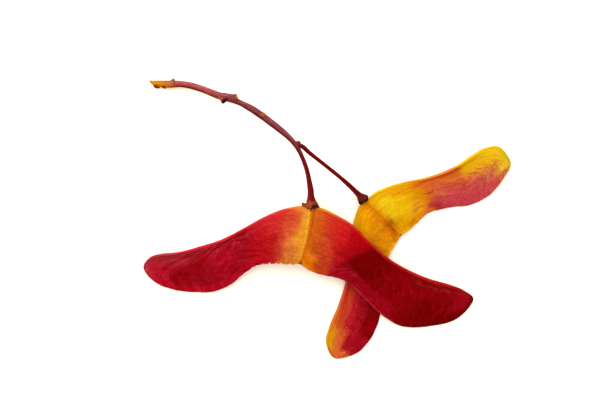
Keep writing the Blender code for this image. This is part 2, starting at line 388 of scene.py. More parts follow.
half, rim = thickness(ALONG, ACROSS, 12.0, 40.0, HALVES["front_left_half"])
print("thickest place in mm:", round(2 * half.max(), 2), "and the rim closes to", rim.min())

# %% [markdown]
# The relief is small beside the thickness, but it carries the light: wrinkles on the nutlet, veins
# and strands on the wing, and slow furrows that follow the veins. Above and below get the same
# relief, as a vein is a cord inside the blade that stands out on both faces.

# %% Relief of a half
WRINKLE_HEIGHT = 0.09
LUMP_HEIGHT = 0.12
VEIN_HEIGHT = 0.09
FURROW_HEIGHT = 0.06
SEAM_FADE = 0.03


def relief(along, across, habit):
    """Heights in millimetres added to both faces: wrinkles, lumps, veins and furrows, each its
    own height times its field, and all less by the seam. The colours follow the fields too."""
    seed, reach = habit["seed"], habit["nutlet"]
    flow = vein_flow(along, across, habit["sweep"], seed)
    run = vein_flow(along, across, VEIN_SWEEP * habit["sweep"], seed, VEIN_NECK)
    wing = wing_share(along, across, reach)
    full = belly(along, across, reach)
    net = wrinkles(along, across, seed) * np.minimum(2 * full, 1)
    lines = veins(along, across, run, reach, seed) * wing
    streaks = strokes(along, across, run, reach, seed)
    height = WRINKLE_HEIGHT * net
    height += LUMP_HEIGHT * full * drift(11 * along, 4 * across, seed + 6)
    height += VEIN_HEIGHT * lines * ease(0.01, 0.06, across)
    height += FURROW_HEIGHT * wing * streaks
    height *= ease(0, SEAM_FADE, along)
    return height, {"flow": flow, "run": run, "vein": lines, "net": net, "stroke": streaks}


height, fields = relief(ALONG, ACROSS, HALVES["front_left_half"])
print("relief in mm:", round(height.min(), 2), "to", round(height.max(), 2), "with", ", ".join(fields))

# %% [markdown]
# Now a half can be laid out, first in plan. Places run straight across from the leading edge to the
# trailing edge, and that edge is a little uneven or frayed into small teeth. The two halves of a
# pair meet along the seam with only a hair between them.

# %% Plan of a half
SEAM_HAIR = 0.004
UNEVEN_EDGE = 0.07
MEAN_TOOTH = 0.3
TIP_POINT = 10
FREE_EDGE = ease(0.02, 0.08, ALONG) * (1 - ease(0.9, 0.98, ALONG))


def plan(habit):
    """Places on the middle of a half, its width at each and its length, in millimetres: the leading
    edge and a share of the chord from it to the trailing edge. Hills and teeth push that edge in
    and out, and the seam's side bows by a parabola."""
    along, across, seed = ALONG, ACROSS, habit["seed"]
    edge = np.array(habit["outline"])
    seam = edge[-1] - edge[0]
    normal = np.array([seam[1], -seam[0], 0]) / math.hypot(seam[0], seam[1])
    away = normal @ (edge[TIP_POINT] - edge[0])
    edge[[0, -1]] += normal * math.copysign(SEAM_HAIR / 2, away)
    lead, trail = curve_through(edge, along / 2), curve_through(edge, 1 - along / 2)
    width = np.maximum(np.linalg.norm(trail - lead, axis=2), 1e-6)
    teeth = np.abs(drift(110 * along, 0 * across, seed + 8))
    push = UNEVEN_EDGE * drift(24 * along, 0 * across, seed + 9)
    push += habit["fray"] * (MEAN_TOOTH - teeth) * (1 - ease(0.28, 0.4, along))
    share = across + FREE_EDGE * push / width * across**6
    bow = habit["bow"] * 4 * across * (1 - across) * np.exp(-((along / 0.1) ** 2))
    place = lead + (trail - lead) * share[..., None] + normal * bow[..., None]
    return place, width, np.linalg.norm(edge[TIP_POINT] - edge[0])


_, width, length = plan(HALVES["front_left_half"])
print("front left half is", round(length, 1), "mm long and up to", round(width.max(), 1), "mm wide")

# %% [markdown]
# Seen from the side, a wing is arched and waved like any dry leaf. It is still at the nutlet and at
# the tip and free between them, and where the edge is frayed it is frilled too.

# %% Arch and waves
BENDS = 2.5
UNDULATION = 0.16
FRILL = 0.4


def arch(habit):
    """Heights in millimetres over the plan: a parabola across for the camber, a sine along for the
    bends, which grows with the square of the way across, slow hills, and a frill by the teeth."""
    along, across, seed = ALONG, ACROSS, habit["seed"]
    free = ease(0.15, 0.5, along) * (1 - ease(0.8, 1, along))
    height = habit["camber"] * 4 * across * (1 - across) * free
    height += habit["bend"] * np.sin(2 * math.pi * BENDS * along) * across**2 * free
    height += UNDULATION * free * drift(8 * along, 2.5 * across, seed + 10)
    frill = drift(60 * along, 2 * across, seed + 12) * ease(0.82, 1, across) * FREE_EDGE
    return height + FRILL * habit["fray"] * frill * (1 - ease(0.28, 0.45, along))


print("arch in mm: up to", round(arch(HALVES["front_left_half"]).max(), 2))

# %% [markdown]
# The two faces lie above and below that middle surface. By the seam the skin is raised in a lip or
# sunk in a valley, and in the back pair it dries into a dimple. Nothing dips below the table.

# %% Faces of a half
LIP_WIDTH = 0.016
VALLEY_PLACE = 0.03
VALLEY_WIDTH = 0.015
DIMPLE_PLACE = 0.73
DIMPLE_SIZE = (0.09, 0.12)
UNDERSIDE_RELIEF = 0.8


def bell(way):
    """1 at no way and falling on both sides: e to the power of less the way squared."""
    return np.exp(-(way**2))


def half_faces(habit):
    """Upper and lower places of a half in millimetres, and its fields: the middle, plus and less
    the half thickness and the relief, which close with the rim. The lip, the valley and the
    dimple are bell curves round their places."""
    place, width, length = plan(habit)
    middle = place[..., 2] + arch(habit)
    half, rim = thickness(ALONG, ACROSS, width, length, habit)
    height, fields = relief(ALONG, ACROSS, habit)
    lip = habit["lip"] * bell(ALONG / LIP_WIDTH)
    valley = habit["valley"] * bell((ALONG - VALLEY_PLACE * (1 - ACROSS**1.5)) / VALLEY_WIDTH)
    dimple = bell(ALONG / DIMPLE_SIZE[0]) * bell((ACROSS - DIMPLE_PLACE) / DIMPLE_SIZE[1])
    upper, lower = place.copy(), place.copy()
    upper[..., 2] = middle + rim * (half + height + lip - valley - habit["dimple"] * dimple)
    lower[..., 2] = np.maximum(middle - rim * (half + UNDERSIDE_RELIEF * height), 0)
    upper[..., 2] = np.maximum(upper[..., 2], lower[..., 2])
    return upper, lower, fields


upper, lower, _ = half_faces(HALVES["front_left_half"])
print("front left half in mm:", lower.min((0, 1)).round(1), "to", upper.max((0, 1)).round(1))

# %% [markdown]
# A mesh is a list of places and a list of faces. The lower face shares the edge columns and the
# tip with the upper one, and a strip closes the seam, so the skin has no open edge. Beside the
# mesh go the numbers that the materials will read: a map of along and across, and the fields.

# %% Close two faces into one skin
def cells(grid):
    """Two triangles for each cell of a grid of vertex numbers."""
    a, b, c, d = grid[:-1, :-1], grid[1:, :-1], grid[1:, 1:], grid[:-1, 1:]
    return np.concatenate([np.stack(corner, -1).reshape(-1, 3) for corner in ((a, b, c), (a, c, d))])


def new_piece(name, places, faces):
    """A smooth-shaded object at the origin, from places in millimetres and a list of faces."""
    mesh = bpy.data.meshes.new(name)
    mesh.from_pydata((places * MM).tolist(), [], faces.tolist())
    mesh.shade_smooth()
    piece = bpy.data.objects.new(name, mesh)
    bpy.context.scene.collection.objects.link(piece)
    return piece


def close_skin(name, upper, lower, fields):
    """The upper grid, the lower grid turned over and a strip at the seam, on shared vertices."""
    top = np.arange(upper[..., 0].size).reshape(upper.shape[:2])
    under = top + top.size
    top[-1] = top[-1, 0]
    under[:, [0, -1]], under[-1] = top[:, [0, -1]], top[-1, 0]
    turned = np.sign(np.cross(upper[1, 1] - upper[0, 1], upper[0, 2] - upper[0, 1])[2])
    faces = np.concatenate([cells(top), cells(under[:, ::-1]), cells(np.stack([under[0], top[0]]))])
    if turned < 0:
        faces = faces[:, ::-1]
    a, b, c = faces.T
    faces = faces[(a != b) & (b != c) & (c != a)]
    used, faces = np.unique(faces, return_inverse=True)
    faces = faces.reshape(-1, 3)
    piece = new_piece(name, np.concatenate([upper.reshape(-1, 3), lower.reshape(-1, 3)])[used], faces)
    under_share = np.repeat([0.0, 1.0], top.size)[used]
    add_field(piece, "under", under_share)
    for key, values in fields.items():
        add_field(piece, key, np.tile(values.ravel(), 2)[used])
    spots = np.stack([np.tile(ALONG.ravel(), 2)[used], np.tile(ACROSS.ravel(), 2)[used]], 1)
    layer = piece.data.uv_layers.new(name="leaf")
    layer.data.foreach_set("uv", spots[faces.ravel()].astype(np.float32).ravel())
    return piece


def add_field(piece, name, values):
    """A number for each vertex, kept with the mesh for its material."""
    made = piece.data.attributes.new(name, "FLOAT", "POINT")
    made.data.foreach_set("value", values.astype(np.float32))


PIECES = {}
for name, habit in HALVES.items():
    PIECES[name] = close_skin(name, *half_faces(habit))
    print(name, "has", len(PIECES[name].data.polygons), "triangles")

# %% [markdown]
# The stalk is round, woody and a little crooked. It could be a bevelled curve, but the scars of
# fallen flowers and the fork need to run into it without a crease. So tubes and cups are made as
# rings carried along paths, and then fused: a voxel remesh wraps one skin round them all. In a
# model in metres its slider stops at 0.1 mm, and this stalk needs finer voxels, so it is made with
# the millimetre as its unit and shrunk afterwards. Each point has a place and a radius.

# %% Paths of the stalk
MAIN_STALK = [
    (-42.5, 33.0, 1.0, 0.16), (-41.2, 32.4, 0.85, 0.62), (-38.1, 32.15, 1.0, 0.86),
    (-35.2, 32.18, 1.3, 0.76), (-32.8, 31.83, 1.6, 0.77), (-30.43, 31.13, 2.0, 0.77),
    (-27.98, 30.17, 2.4, 0.84), (-25.55, 29.2, 2.8, 0.88), (-23.1, 28.55, 3.1, 0.86),
    (-20.68, 27.54, 3.5, 0.71), (-18.38, 26.33, 3.9, 0.8), (-16.05, 24.8, 4.3, 0.86),
    (-13.65, 23.03, 4.6, 0.82), (-11.27, 21.17, 4.9, 0.77), (-9.19, 19.36, 5.1, 0.66),
    (-7.72, 17.74, 5.2, 0.6), (-6.73, 16.2, 5.2, 0.53), (-5.82, 14.3, 5.2, 0.5),
    (-5.09, 12.3, 5.2, 0.54), (-4.57, 10.38, 5.2, 0.56), (-4.2, 8.4, 5.15, 0.64),
    (-3.94, 6.81, 5.1, 0.7), (-3.9, 5.3, 5.05, 0.82), (-3.8, 4.1, 5.0, 1.18),
    (-3.62, 3.1, 5.0, 1.5), (-3.45, 2.65, 5.0, 1.44),
]
SIDE_STALK = [
    (-8.5, 18.3, 5.0, 0.4), (-5.97, 17.15, 5.1, 0.52), (-4.25, 15.66, 4.8, 0.5),
    (-2.3, 14.1, 4.4, 0.48), (-0.28, 12.52, 3.9, 0.47), (1.78, 10.9, 3.4, 0.46),
    (3.74, 9.25, 2.9, 0.5), (5.4, 7.8, 2.45, 0.54), (6.67, 6.57, 2.1, 0.61),
    (7.6, 5.65, 1.85, 0.76), (8.2, 5.02, 1.7, 1.16), (8.6, 4.58, 1.62, 1.44),
    (8.95, 4.2, 1.6, 1.36),
]
SCARS = [
    ((-38.3, 32.55, 1.5), (-36.5, 33.0, 1.75), 0.56),
    ((-25.9, 29.5, 2.4), (-24.45, 28.0, 3.5), 0.82),
    ((-8.5, 18.2, 5.0), (-6.5, 17.95, 5.5), 0.5),
]
MAIN_RINGS = 420
SIDE_RINGS = 180
main_path = curve_through(MAIN_STALK, np.linspace(0, 1, MAIN_RINGS))
side_path = curve_through(SIDE_STALK, np.linspace(0, 1, SIDE_RINGS))


def way_along(path):
    """How far each point of a path lies from its start: the steps before it, added up."""
    return np.append(0, np.cumsum(np.linalg.norm(np.diff(path[:, :3], axis=0), axis=1)))


main_way, side_way = way_along(main_path), way_along(side_path)
print("main stalk in mm:", round(main_way[-1], 1), "and the side one:", round(side_way[-1], 1))

# %% [markdown]
# A ring needs two directions square to the path. Taking one of them level and the other as square
# to both never twists, as no stretch of this stalk stands upright. A last ring of no radius at
# each end closes the tube to a point.

# %% Rings along a path
SIDES = 40


def square_to(ahead):
    """Two directions square to each given one: a level one, and the third square to both."""
    ahead = ahead / np.linalg.norm(ahead, axis=-1, keepdims=True)
    level = np.cross(ahead, (0, 0, 1))
    level /= np.linalg.norm(level, axis=-1, keepdims=True)
    return level, np.cross(level, ahead)


def rings(line, radii, ahead, sides):
    """Circles round the points of a line: the radius times the cosine of the turn in the level
    direction and times its sine in the other. With them come the faces between the circles."""
    turn = np.linspace(0, 2 * math.pi, sides, endpoint=False)[:, None]
    level, upward = (np.broadcast_to(way, line.shape)[:, None] for way in square_to(ahead))
    spread = level * np.cos(turn) + upward * np.sin(turn)
    line, spread = (np.concatenate([rows[:1], rows, rows[-1:]]) for rows in (line, spread))
    places = line[:, None] + spread * np.pad(radii, 1)[:, None, None]
    number = np.arange(len(line) * sides).reshape(-1, sides)
    return places.reshape(-1, 3), cells(np.concatenate([number, number[:, :1]], axis=1))


def tube(path, sides=SIDES):
    """Rings along a path of places and radii, each facing the way that the path runs."""
    return rings(path[:, :3], path[:, 3], np.gradient(path[:, :3], axis=0), sides)


print("places in the main tube:", len(tube(main_path)[0]))

# %% [markdown]
# Where a flower fell off, the stalk keeps a short spur that widens to a round scar with a hollow
# middle. Its side view is a profile of radius against height, and each spur is that same profile
# carried along a short straight path. The cups flare from the stalk's own radii, and short crooked
# tubes, the crumbs, give the cut end, the scars and the cups their torn lobes.

# %% Spurs and crumbs
SPUR_PROFILE = [
    (0.0, 0.42), (0.35, 0.5), (0.7, 0.78), (0.92, 1.0), (1.0, 0.98), (1.03, 0.84), (0.97, 0.62),
    (0.86, 0.4), (0.84, 0.2),
]


def spur(start, end, radius):
    """The spur profile, scaled to its length and radius, along the line from start to end."""
    profile = curve_through(SPUR_PROFILE, np.linspace(0, 1, 40))
    ahead = np.subtract(end, start)
    return rings(start + ahead * profile[:, :1], profile[:, 1] * radius, ahead, SIDES)


CRUMBS = [
    [(-40.2, 31.8, 0.7, 0.5), (-40.8, 31.6, 0.6, 0.46), (-41.5, 31.85, 0.6, 0.3)],
    [(-38.5, 31.65, 0.7, 0.4), (-39.0, 31.5, 0.6, 0.4), (-39.5, 31.5, 0.5, 0.24)],
    [(-25.0, 29.25, 3.0, 0.78), (-23.2, 28.95, 3.3, 0.82), (-21.9, 28.77, 3.6, 0.88),
     (-21.55, 28.72, 3.7, 0.92), (-21.5, 28.72, 3.7, 0.6)],
    [(-17.0, 25.7, 4.5, 0.6), (-15.6, 24.85, 5.0, 0.6), (-14.9, 24.45, 5.2, 0.62),
     (-14.75, 24.38, 5.2, 0.45)],
    [(-4.5, 3.0, 5.3, 0.5), (-5.3, 3.2, 5.4, 0.46), (-6.0, 3.5, 5.5, 0.32)],
    [(-2.6, 3.0, 5.4, 0.4), (-2.2, 2.8, 5.4, 0.36), (-1.95, 2.65, 5.3, 0.2)],
    [(-3.2, 3.2, 6.0, 0.42), (-3.1, 2.85, 6.0, 0.4), (-3.0, 2.65, 5.9, 0.32)],
    [(-3.4, 3.0, 5.2, 0.6), (-2.85, 2.7, 5.1, 0.55), (-2.5, 2.5, 5.0, 0.45)],
    [(8.8, 4.5, 1.6, 0.8), (9.1, 4.2, 1.6, 0.75), (9.2, 3.95, 1.6, 0.6)],
    [(9.2, 5.15, 2.0, 0.45), (9.38, 4.85, 2.2, 0.44), (9.35, 4.5, 2.3, 0.36)],
    [(8.1, 3.9, 1.9, 0.42), (7.95, 3.6, 1.95, 0.38), (7.85, 3.4, 1.95, 0.24)],
]
shells = [tube(main_path), tube(side_path)]
shells += [spur(*scar) for scar in SCARS]
shells += [tube(curve_through(crumb, np.linspace(0, 1, 12)), 16) for crumb in CRUMBS]
print("shells to fuse:", len(shells))

# %% [markdown]
# Blender's voxel remesh wraps one closed skin round all the shells, and a few rounds of smoothing
# take its steps away. Both are modifiers on a rough mesh, so the finished skin is read back from
# them, and the rough one is thrown away.

# %% Fuse the stalk
VOXEL = 0.075
SMOOTHING = 4


def fuse(shells):
    """One closed skin round all the shells: vertex places, faces and normals, in millimetres."""
    sizes = np.cumsum([0] + [len(places) for places, _ in shells])
    places = np.concatenate([places for places, _ in shells])
    faces = np.concatenate([part + start for (_, part), start in zip(shells, sizes)])
    rough = bpy.data.meshes.new("rough_stalk")
    rough.from_pydata(places.tolist(), [], faces.tolist())
    holder = bpy.data.objects.new("rough_stalk", rough)
    bpy.context.scene.collection.objects.link(holder)
    wrap = holder.modifiers.new("wrap", "REMESH")
    wrap.mode = "VOXEL"
    wrap.voxel_size = VOXEL
    soften = holder.modifiers.new("soften", "SMOOTH")
    soften.iterations = SMOOTHING
    bpy.context.view_layer.update()
    skin = bpy.data.meshes.new_from_object(holder.evaluated_get(bpy.context.evaluated_depsgraph_get()))
    bpy.data.objects.remove(holder)
    count = len(skin.vertices)
    places, normals = np.empty(count * 3), np.empty(count * 3)
    skin.vertices.foreach_get("co", places)
    skin.vertex_normals.foreach_get("vector", normals)
    faces = np.empty(len(skin.loops), int)
    skin.loops.foreach_get("vertex_index", faces)
    return places.reshape(-1, 3), faces.reshape(-1, 4), normals.reshape(-1, 3)


stalk_places, stalk_faces, stalk_normals = fuse(shells)
print("stalk has", len(stalk_faces), "faces")

# %% [markdown]
# The fused skin comes back as loose places in space, so each one has to find its own spot on the
# stalk again. It takes the nearest ring's number for how far along it lies, and its side of the
# ring for how far round. The side stalk goes on counting from the fork.

# %% Find the way along and round the stalk
centres = np.vstack([main_path, side_path])[:, :3]
directions = [square_to(np.gradient(path[:, :3], axis=0)) for path in (main_path, side_path)]
level, upward = (np.vstack(pair) for pair in zip(*directions))
fork_way = main_way[np.argmin(np.linalg.norm(main_path[:, :3] - side_path[0, :3], axis=1))]
all_way = np.concatenate([main_way, fork_way + side_way])


def nearest_ring(places):
    """For each place the number of the ring whose centre is nearest, by squared distances."""
    gaps = (places**2).sum(1)[:, None] - 2 * places @ centres.T + (centres**2).sum(1)[None]
    return gaps.argmin(1)


ring = nearest_ring(stalk_places)
offset = stalk_places - centres[ring]
turn = np.arctan2((offset * upward[ring]).sum(1), (offset * level[ring]).sum(1))
way = all_way[ring]
on_side_stalk = ring >= MAIN_RINGS
print("the fork is", round(fork_way, 1), "mm along, and the far cup", round(all_way[-1], 1))

# %% [markdown]
# Bark dries in furrows that run lengthwise, and the wood at the cut end is knotty. The scars, the
# cut end and the cups are spotted with other colours, from pale driftwood to coal. Each spot is a
# round share that falls off from its centre, on the upper side only, and its radius is in
# millimetres like its place.

# %% Furrows and spots of the bark
FURROW_WAVES = ((4, 0.35), (7, 0.3), (11, 0.22), (17, 0.13))
BARK_SPOTS = {
    "driftwood": [(-37.6, 33.05, 0.7), (-36.8, 33.15, 0.6)],
    "tawny": [(-25.65, 28.5, 0.6), (-15.15, 24.6, 0.6), (-4.95, 2.95, 0.5), (-5.85, 3.1, 0.4)],
    "copper": [(-14.7, 24.85, 0.4)],
    "ochre": [(-21.5, 29.15, 0.42), (-21.45, 28.6, 0.42)],
    "russet": [(-6.55, 17.8, 0.55)],
    "mahogany": [(8.5, 4.7, 1.5)],
    "chestnut": [
        (-41.2, 31.5, 0.5), (-40.6, 31.3, 0.5), (-39.1, 31.25, 0.6), (-36.4, 33.3, 0.45),
        (-21.9, 29.4, 0.3), (-2.4, 3.1, 0.6),
    ],
    "coal": [
        (-24.2, 27.9, 0.7), (-3.2, 2.8, 0.5), (-5.85, 3.75, 0.3), (9.5, 4.6, 0.35), (8.0, 3.7, 0.6),
    ],
}


def furrows(way, turn):
    """Lengthwise furrows: waves round the stalk whose phases wander along it, so none is straight."""
    return sum(
        share * np.sin(count * turn + 5 * drift(0.16 * way, 0 * way, 90 + count))
        for count, share in FURROW_WAVES
    )


def round_share(x, y, radius):
    """1 at a centre on the stalk, and e to the power of less the cube of the way from it, counted
    in radii."""
    return np.exp(-((np.hypot(stalk_places[:, 0] - x, stalk_places[:, 1] - y) / radius) ** 3))


bark = furrows(way, turn)
knots = drift(1.6 * way, 1.3 * turn, 71) * (1 - ease(5, 8, way))
upper_side = ease(-0.8, -0.1, np.sin(turn))
spot_shares = {
    key: upper_side * sum(round_share(*place) for place in spots) for key, spots in BARK_SPOTS.items()
}
print("bark waves from", round(bark.min(), 2), "to", round(bark.max(), 2))

# %% [markdown]
# The furrows and knots push the skin out and in along its normals, and the cups get a rougher rim.
# Then the stalk becomes a piece, and it carries the numbers that its material reads. The grain's
# place goes round the stalk and slowly along it, so that a cloudy pattern there is drawn out into
# fibres.

# %% Put the stalk together
BARK_HEIGHT = 0.05
KNOT_HEIGHT = 0.09
CUP_ROUGH = 0.06
CUP_LENGTH = 2.6
CUP_FULL = 0.6
FIBRE_STRETCH = 0.12

to_cup = np.where(on_side_stalk, all_way[-1], main_way[-1]) - way
cup_share = 1 - ease(CUP_FULL, CUP_LENGTH, to_cup)
lift = BARK_HEIGHT * bark + KNOT_HEIGHT * knots
lift += CUP_ROUGH * cup_share * drift(3 * turn, 4 * way, 72)
stalk_places = stalk_places + stalk_normals * lift[:, None]
stalk_places[:, 2] = np.maximum(stalk_places[:, 2], 0)
stalk = new_piece("forked_stalk", stalk_places, stalk_faces)
grain_place = np.stack([np.cos(turn), np.sin(turn), FIBRE_STRETCH * way], 1)
branch = ease(0, 3, way - fork_way) * on_side_stalk
stalk_fields = {"way": way, "bark": bark, "cup": cup_share, "branch": branch, **spot_shares}
for key, values in stalk_fields.items():
    add_field(stalk, key, values)
grain = stalk.data.attributes.new("grain", "FLOAT_VECTOR", "POINT")
grain.data.foreach_set("vector", grain_place.astype(np.float32).ravel())
PIECES["forked_stalk"] = stalk
print("stalk box in mm:", stalk_places.min(0).round(1), stalk_places.max(0).round(1))

# %% [markdown]
# Colours come next, and they are built as sums on the surface. A shader in Blender is a web of
# nodes, which is slow to write out. One small class lets Python's own signs place those nodes:
# adding two sockets adds a node that adds them.

# %% Sums on shader sockets
class Wire:
    """A socket of a shader, or a plain start of one. Signs between wires place Math nodes."""

    def __init__(self, tree, socket=None):
        self.tree = tree
        self.socket = socket

    def node(self, kind, settings=None, sockets=None, output=0):
        """Places a node: its type, its settings, then the values or wires of its sockets."""
        made = self.tree.nodes.new(kind)
        for key, value in (settings or {}).items():
            if key == "stops":
                set_stops(made.color_ramp, value)
            else:
                setattr(made, key, value)
        for key, value in (sockets or {}).items():
            if isinstance(value, Wire):
                self.tree.links.new(value.socket, made.inputs[key])
            else:
                made.inputs[key].default_value = value
        return Wire(self.tree, made.outputs[output])

    def math(self, operation, first, second):
        """Places one Math node."""
        return self.node("ShaderNodeMath", {"operation": operation}, {0: first, 1: second})

    def __add__(self, other):
        return self.math("ADD", self, other)

    def __sub__(self, other):
        return self.math("SUBTRACT", self, other)

    def __rsub__(self, other):
        return self.math("SUBTRACT", other, self)

    def __mul__(self, other):
        return self.math("MULTIPLY", self, other)

    __radd__ = __add__
    __rmul__ = __mul__


def set_stops(ramp, stops):
    """Gives a colour ramp its stops, as pairs of place and colour."""
    while len(ramp.elements) < len(stops):
        ramp.elements.new(0.5)
    for element, (place, colour) in zip(ramp.elements, stops):
        element.position = place
        element.color = (*colour, 1)


print("signs that place nodes: +, -, *")

# %% [markdown]
# Pigments are named as a painter would name them and written as screen codes. The surround and the
# lamp together show a level surface at a little more than twice its own colour, so each pigment is
# divided by that share before it goes on.

# %% Pigments
LIGHT_ON_SKIN = 2.12
PIGMENTS = {
    "lemon": "F4CA1A", "yellow": "F1BA0C", "saffron": "E8A604", "tangerine": "FAA004",
    "honey": "ECA004", "amber": "F29A30", "marigold": "E58604", "apricot": "EB8033",
    "orange": "E87A0C", "pumpkin": "DC6812", "flame": "E2672A", "rust": "C6500A",
    "copper": "CC641C", "ochre": "C8792C", "tawny": "B8602A", "umber": "944A0C",
    "salmon": "DE5C40", "coral": "E44440", "vermilion": "D84824", "cinnabar": "CB3C14",
    "scarlet": "D01C1E", "blood": "B80610", "crimson": "B80A22", "wine": "A20512",
    "maroon": "8A0104", "oxblood": "720000", "garnet": "74101A", "ruby": "D81E38",
    "rose": "C42C40", "rouge": "CC3E46", "pink": "D24A5C", "blush": "E08880",
    "brick": "B83E2C", "brick_pink": "C0524F", "plum": "8C3A44", "bloom": "9A6664",
    "straw": "F0C890", "driftwood": "A27A58", "sienna": "9C4630", "russet": "8A3020",
    "chestnut": "6E2A0E", "mahogany": "5E1F1A", "sepia": "3C1A10", "coal": "2E1010",
}


def pigment(name):
    """Linear light of a named pigment: the screen's power law undone, and the result divided by
    the light on the skin."""
    code = PIGMENTS[name]
    steps = np.array([int(code[k : k + 2], 16) for k in (0, 2, 4)]) / 255
    linear = np.where(steps <= 0.04045, steps / 12.92, ((steps + 0.055) / 1.055) ** 2.4)
    return tuple((linear / LIGHT_ON_SKIN).tolist())


print("pigments:", len(PIGMENTS))

# %% [markdown]
# A few more helpers read as plain words in the recipes below: a soft step, a band, clouds, a mix
# of two colours and a shade lighter or darker.

# %% Words for the recipes
def soft(value, low, high):
    """A soft step on a wire: 0 below low and 1 above high."""
    return value.node(
        "ShaderNodeMapRange", {"interpolation_type": "SMOOTHSTEP"}, {0: value, 1: low, 2: high}
    )


def band(value, low, high, fade):
    """1 from low to high and 0 beyond a fade at each end; a missing end is open."""
    rise = 1 if low is None else soft(value, low - fade, low)
    fall = 1 if high is None else 1 - soft(value, high, high + fade)
    return rise * fall


def clouds(place, scale, detail=2.0, rough=0.5):
    """Cloudy noise at a place, about -0.5 to 0.5."""
    noise = place.node(
        "ShaderNodeTexNoise", None,
        {"Vector": place, "Scale": scale, "Detail": detail, "Roughness": rough},
    )
    return noise - 0.5


def blend_in(under, over, share):
    """The colour over laid on the colour under, by a share from 0 to 1."""
    return under.node(
        "ShaderNodeMix", {"data_type": "RGBA"}, {0: share, 6: under, 7: over}, output=2
    )


def brighten(colour, factor):
    """A colour times a number."""
    return colour.node("ShaderNodeVectorMath", {"operation": "SCALE"}, {0: colour, 3: factor})


def deepen(colour, amount):
    """Each light of a colour to the power of 1 and an amount: darker and purer, or paler."""
    return colour.node("ShaderNodeGamma", None, {0: colour, 1: 1 + amount})


def spot(start, x, y, z):
    """A place made of three numbers or wires."""
    return start.node("ShaderNodeCombineXYZ", None, {0: x, 1: y, 2: z})


def field(start, name, output=2):
    """A field that the mesh carries: a number, or a place from output 1."""
    return start.node("ShaderNodeAttribute", {"attribute_name": name}, output=output)


def parts(start, place):
    """The three numbers of a place, as wires."""
    split = start.node("ShaderNodeSeparateXYZ", None, {0: place}).socket.node
    return [Wire(start.tree, socket) for socket in split.outputs]


def new_material(name):
    """An empty material with its shader, and a wire to start from."""
    made = bpy.data.materials.new(name)
    made.use_nodes = True
    return made, made.node_tree.nodes["Principled BSDF"], Wire(made.node_tree)


def finish_material(shader, start, colour, rough, height, depth):
    """Feeds colour, roughness and a bump of that height to the shader."""
    bump = start.node("ShaderNodeBump", None, {"Height": height, "Distance": depth, "Strength": 1.0})
    for key, wire in {"Base Color": colour, "Roughness": rough, "Normal": bump}.items():
        start.tree.links.new(wire.socket, shader.inputs[key])


print("the words are ready")

# %% [markdown]
# Everything on a wing runs with its veins, and so do the fine streaks in its colour. Noise looks
# streaky where it is squeezed one way and drawn out the other, so the streaks are laid by the same
# four directions as the veins of the mesh, only finer.

# %% Streaks that follow the veins
def laid(start, places, bundle_edge, fine, long, seed, detail):
    """Streaky clouds laid four ways and blended: lengthwise on the nutlet, rising to the rib at
    the neck, beside the rib in its bundle, and along the falling veins on the wing."""
    along, across, run = places
    rise = along + RISE * across.math("POWER", across, 1.2)
    beside = across - 0.14 * soft(along, 0.5, 1.0)
    nutlet, wing = 1 - soft(rise, 0.34, 0.6), soft(along, 0.36, 0.5)
    bundle = 1 - soft(beside, bundle_edge - 0.12, bundle_edge)
    ways = (
        spot(start, rise * (0.8 * fine), across * long, seed + 0.4),
        spot(start, run * fine, across * long, seed + 0.7),
        spot(start, beside * (0.45 * fine), along * (1.6 * long), seed + 0.9),
        spot(start, across * (0.3 * fine), along * (2 * long), seed),
    )
    made, *others = (clouds(way, 1.0, detail, 0.6) for way in ways)
    for other, share in zip(others, (wing, bundle, nutlet)):
        made = made + share * (other - made)
    return made


print("streaks are laid over the nutlet, the neck, the bundle and the wing")

# %% [markdown]
# The skin of a half is painted in washes, as in watercolour. Each one lays a pigment over a patch,
# given by where it begins and ends: along the half, across it, or in the flow, where its border
# follows the veins. Those borders will be warped, so that none looks drawn. Measured from the seam
# or from the rib a border stays sharp, as thin lines such as the rim need.

# %% A wash
USUAL_FADES = {"along": 0.05, "across": 0.1, "flow": 0.05, "from_seam": 0.008, "from_rib": 0.03}


def wash(pigment_name, amount, texture="plain", slant=0, lift=0, **stretches):
    """One wash of an amount from 0 to 1. A stretch has a low and a high end, and a fade beyond
    them where it isn't the usual one. The slant leans it, and the lift brightens what it covers: a
    painted light that offsets the shade falling there."""
    return {
        "pigment": pigment_name,
        "amount": amount,
        "texture": texture,
        "slant": slant,
        "lift": lift,
        "stretches": {key: (*ends, USUAL_FADES[key])[:3] for key, ends in stretches.items()},
    }


print("a wash:", wash("crimson", 0.5, along=(0.2, 0.4)))

# %% [markdown]
# A ramp from the seam to the tip gives the ground, and the washes go over it one by one. Clouds and
# streaks warp their borders and also serve as textures, which break a wash up into strokes, threads
# or flecks. Last comes a fine grain of lighter and darker streaks over the whole skin.

# %% Paint a half
SKIN_GLOSS = 0.006
SKIN_BUMP = 0.06 * MM
SPECKLES = {
    "cloud": ("along", 9, 3, 3.0), "fleck": ("run", 190, 16, 2.0),
    "freckle": ("along", 150, 40, 2.0), "dash": ("run", 170, 10, 2.0),
}
SPECKLE_SEEDS = {"cloud": 0, "fleck": 2, "freckle": 3, "dash": 5}


